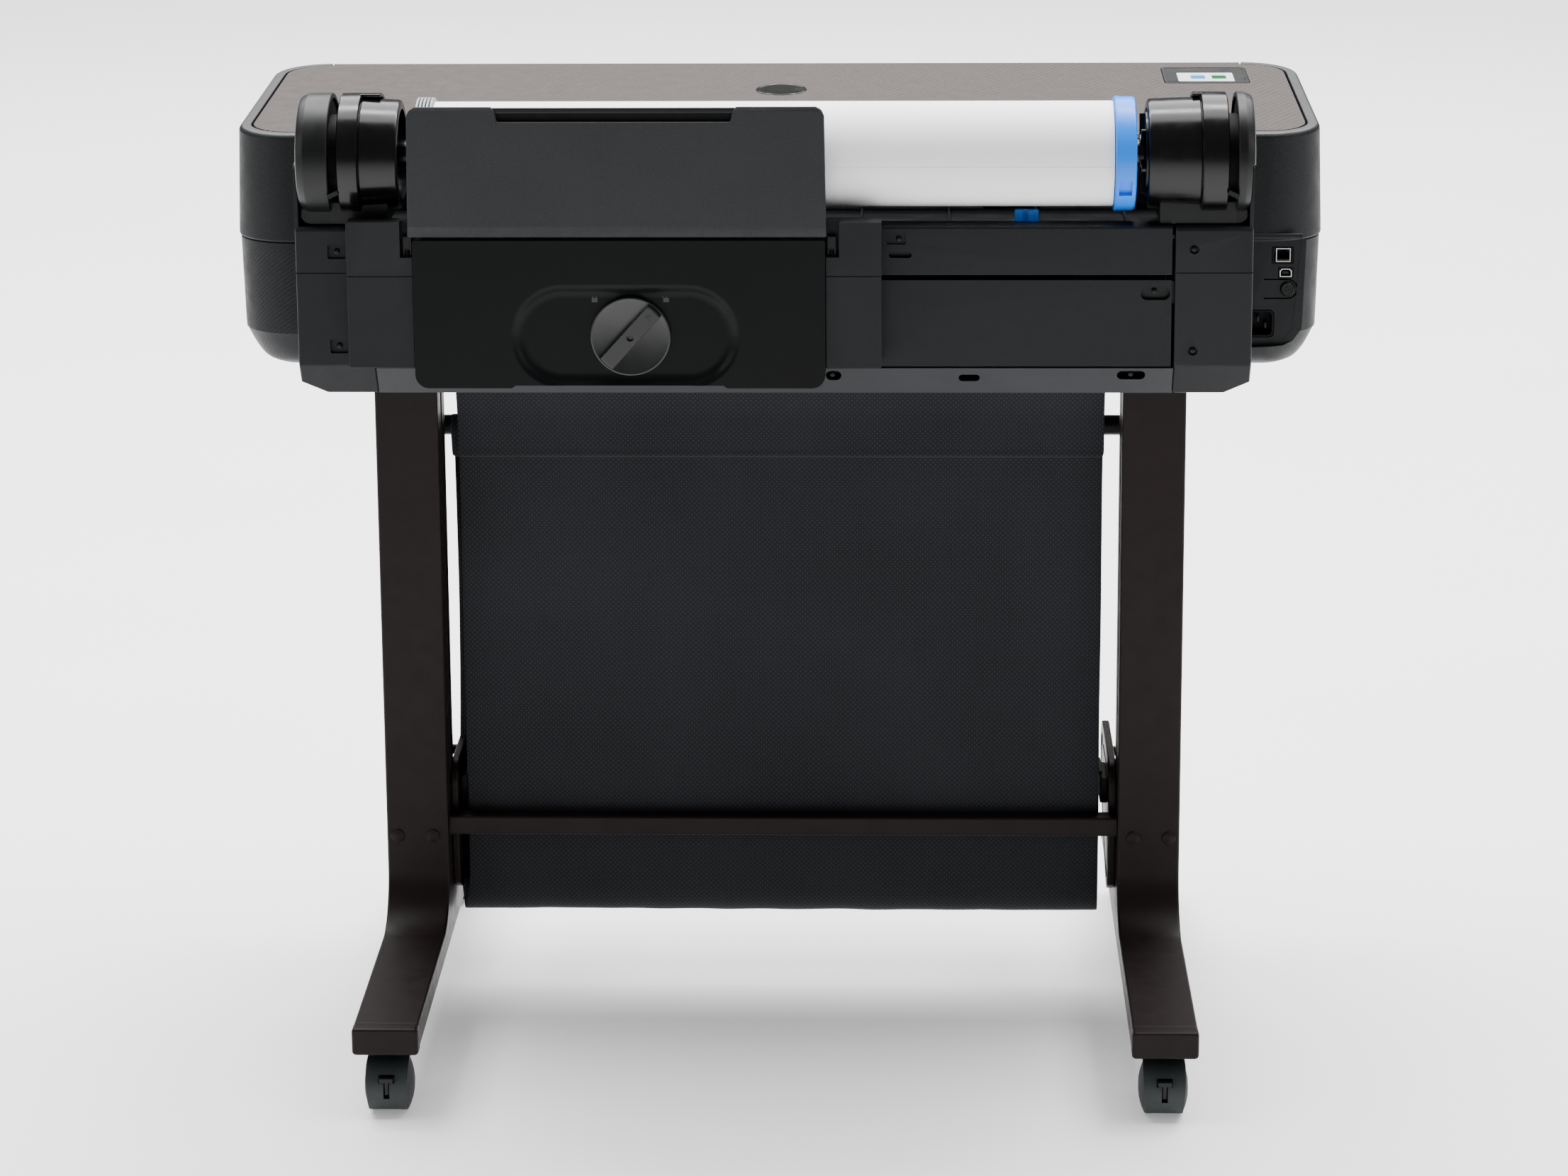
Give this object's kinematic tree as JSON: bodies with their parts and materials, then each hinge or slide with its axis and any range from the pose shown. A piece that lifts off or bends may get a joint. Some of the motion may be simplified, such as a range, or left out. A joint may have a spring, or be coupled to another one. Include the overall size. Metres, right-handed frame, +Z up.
{
  "type": "large format plotter",
  "caption": "Roll-fed large format inkjet plotter on a wheeled stand, with a rear media roll, a rear sheet feeder and a cloth basket.",
  "frame": {"origin": "on the floor, under the centre of the stand and the casing", "axes": "+X along the print width towards the user's right hand, +Y away from the user towards the roll and the sheet feeder, +Z up"},
  "size_m": [1.014, 0.605, 0.9237],
  "materials": {
    "casing": "fine matte grain, near black",
    "dark_plastic": "semi-matte black",
    "satin_black": "satin black with broad highlights",
    "taupe_panel": "taupe, fine embossed lines",
    "screen": "pale glossy display face",
    "grey_plastic": "mid grey",
    "bottom_grey": "dark grey",
    "blue_plastic": "bright blue",
    "paper": "white coated paper",
    "steel": "plain sheet steel",
    "board": "green circuit board",
    "stand_paint": "dark brown satin paint",
    "cloth": "black woven nylon",
    "rubber": "dark rubber"
  },
  "bodies": {
    "body": {"lower_casing": "casing", "upper_casing": "casing", "ink_tanks": "dark_plastic", "carriage_rail": "steel", "carriage_belt": "rubber", "platen": "dark_plastic", "main_board": "board", "power_supply": "steel", "power_inlet": "dark_plastic", "ethernet_socket": "steel", "usb_socket": "steel", "rear_chassis": "bottom_grey", "rear_upper_panel": "casing", "rear_lower_panel": "casing", "roll_guide_clip": "blue_plastic", "feeder_body": "dark_plastic", "cross_brace": "stand_paint", "basket_rear_bar": "dark_plastic", "basket_cloth": "cloth", "end_panel_right": "casing", "roll_holder_right": "satin_black", "feeder_bracket_right": "casing", "leg_right": "stand_paint", "foot_cap_rear_right": "stand_paint", "foot_cap_front_right": "stand_paint", "end_panel_left": "casing", "roll_holder_left": "satin_black", "feeder_bracket_left": "casing", "leg_left": "stand_paint", "foot_cap_rear_left": "stand_paint", "foot_cap_front_left": "stand_paint"},
    "lid": {"top_lid": "taupe_panel", "display_bezel": "dark_plastic", "display_screen": "screen"},
    "power_button": {"power_button": "dark_plastic"},
    "cartridge_door": {"cartridge_door": "casing"},
    "carriage": {"print_carriage": "dark_plastic"},
    "feed_roller": {"feed_roller": "grey_plastic"},
    "pinch_rollers": {"pinch_rollers": "rubber"},
    "roll": {"spindle": "grey_plastic", "grey_flange": "grey_plastic", "paper_roll": "paper", "blue_flange": "blue_plastic"},
    "feeder_flap": {"feeder_flap": "casing"},
    "lock_knob": {"lock_knob": "dark_plastic"},
    "basket_frame": {"basket_front_bar": "dark_plastic", "basket_arm_right": "dark_plastic", "basket_arm_left": "dark_plastic"},
    "caster_rear_right": {"caster_hood_rear_right": "dark_plastic"},
    "caster_wheels_rear_right": {"caster_wheels_rear_right": "rubber"},
    "caster_brake_rear_right": {"caster_brake_rear_right": "dark_plastic"},
    "caster_rear_left": {"caster_hood_rear_left": "dark_plastic"},
    "caster_wheels_rear_left": {"caster_wheels_rear_left": "rubber"},
    "caster_brake_rear_left": {"caster_brake_rear_left": "dark_plastic"},
    "caster_front_right": {"caster_hood_front_right": "dark_plastic"},
    "caster_wheels_front_right": {"caster_wheels_front_right": "rubber"},
    "caster_brake_front_right": {"caster_brake_front_right": "dark_plastic"},
    "caster_front_left": {"caster_hood_front_left": "dark_plastic"},
    "caster_wheels_front_left": {"caster_wheels_front_left": "rubber"},
    "caster_brake_front_left": {"caster_brake_front_left": "dark_plastic"}
  },
  "joints": [
    {"name": "lid_hinge", "type": "hinge", "parent": "body", "child": "lid", "pos_m": [0, 0.0495, 0.8718], "axis": [-1, 0, 0], "range_deg": [0, 55]},
    {"name": "power_button_press", "type": "slide", "parent": "body", "child": "power_button", "axis": [0, -1, 0], "range_m": [0, 0.0015], "stiffness_N_per_m": 400},
    {"name": "cartridge_door_hinge", "type": "hinge", "parent": "body", "child": "cartridge_door", "pos_m": [-0.424, -0.2585, 0.6943], "axis": [1, 0, 0], "range_deg": [0, 85]},
    {"name": "carriage_slide", "type": "slide", "parent": "body", "child": "carriage", "axis": [-1, 0, 0], "range_m": [0, 0.8]},
    {"name": "feed_roller_spin", "type": "hinge", "parent": "body", "child": "feed_roller", "pos_m": [0, -0.038, 0.758], "axis": [1, 0, 0], "continuous": true},
    {"name": "pinch_roller_spin", "type": "hinge", "parent": "body", "child": "pinch_rollers", "pos_m": [0, -0.038, 0.7776], "axis": [1, 0, 0], "continuous": true},
    {"name": "roll_spin", "type": "hinge", "parent": "body", "child": "roll", "pos_m": [0, 0.148, 0.868], "axis": [1, 0, 0], "continuous": true},
    {"name": "feeder_flap_hinge", "type": "hinge", "parent": "body", "child": "feeder_flap", "pos_m": [0, 0.2095, 0.8075], "axis": [-1, 0, 0], "range_deg": [0, 60]},
    {"name": "lock_knob_turn", "type": "hinge", "parent": "body", "child": "lock_knob", "pos_m": [0.127, 0.207, 0.7135], "axis": [0, 1, 0], "range_deg": [0, 90]},
    {"name": "basket_frame_hinge", "type": "hinge", "parent": "body", "child": "basket_frame", "pos_m": [0, -0.15, 0.205], "axis": [1, 0, 0], "range_deg": [0, 50]},
    {"name": "caster_swivel_rear_right", "type": "hinge", "parent": "body", "child": "caster_rear_right", "pos_m": [0.3545, 0.258, 0.06], "axis": [0, 0, 1], "continuous": true},
    {"name": "caster_spin_rear_right", "type": "hinge", "parent": "caster_rear_right", "child": "caster_wheels_rear_right", "pos_m": [0.3545, 0.273, 0.025], "axis": [1, 0, 0], "continuous": true},
    {"name": "caster_brake_press_rear_right", "type": "hinge", "parent": "caster_rear_right", "child": "caster_brake_rear_right", "pos_m": [0.3545, 0.2995, 0.038], "axis": [-1, 0, 0], "range_deg": [0, 14]},
    {"name": "caster_swivel_rear_left", "type": "hinge", "parent": "body", "child": "caster_rear_left", "pos_m": [-0.3545, 0.258, 0.06], "axis": [0, 0, 1], "continuous": true},
    {"name": "caster_spin_rear_left", "type": "hinge", "parent": "caster_rear_left", "child": "caster_wheels_rear_left", "pos_m": [-0.3545, 0.273, 0.025], "axis": [1, 0, 0], "continuous": true},
    {"name": "caster_brake_press_rear_left", "type": "hinge", "parent": "caster_rear_left", "child": "caster_brake_rear_left", "pos_m": [-0.3545, 0.2995, 0.038], "axis": [-1, 0, 0], "range_deg": [0, 14]},
    {"name": "caster_swivel_front_right", "type": "hinge", "parent": "body", "child": "caster_front_right", "pos_m": [0.3545, -0.258, 0.06], "axis": [0, 0, 1], "continuous": true},
    {"name": "caster_spin_front_right", "type": "hinge", "parent": "caster_front_right", "child": "caster_wheels_front_right", "pos_m": [0.3545, -0.273, 0.025], "axis": [1, 0, 0], "continuous": true},
    {"name": "caster_brake_press_front_right", "type": "hinge", "parent": "caster_front_right", "child": "caster_brake_front_right", "pos_m": [0.3545, -0.2995, 0.038], "axis": [1, 0, 0], "range_deg": [0, 14]},
    {"name": "caster_swivel_front_left", "type": "hinge", "parent": "body", "child": "caster_front_left", "pos_m": [-0.3545, -0.258, 0.06], "axis": [0, 0, 1], "continuous": true},
    {"name": "caster_spin_front_left", "type": "hinge", "parent": "caster_front_left", "child": "caster_wheels_front_left", "pos_m": [-0.3545, -0.273, 0.025], "axis": [1, 0, 0], "continuous": true},
    {"name": "caster_brake_press_front_left", "type": "hinge", "parent": "caster_front_left", "child": "caster_brake_front_left", "pos_m": [-0.3545, -0.2995, 0.038], "axis": [1, 0, 0], "range_deg": [0, 14]}
  ],
  "couplings": [
    {"joint": "pinch_roller_spin", "follows": "feed_roller_spin", "ratio": -1.7143}
  ]
}
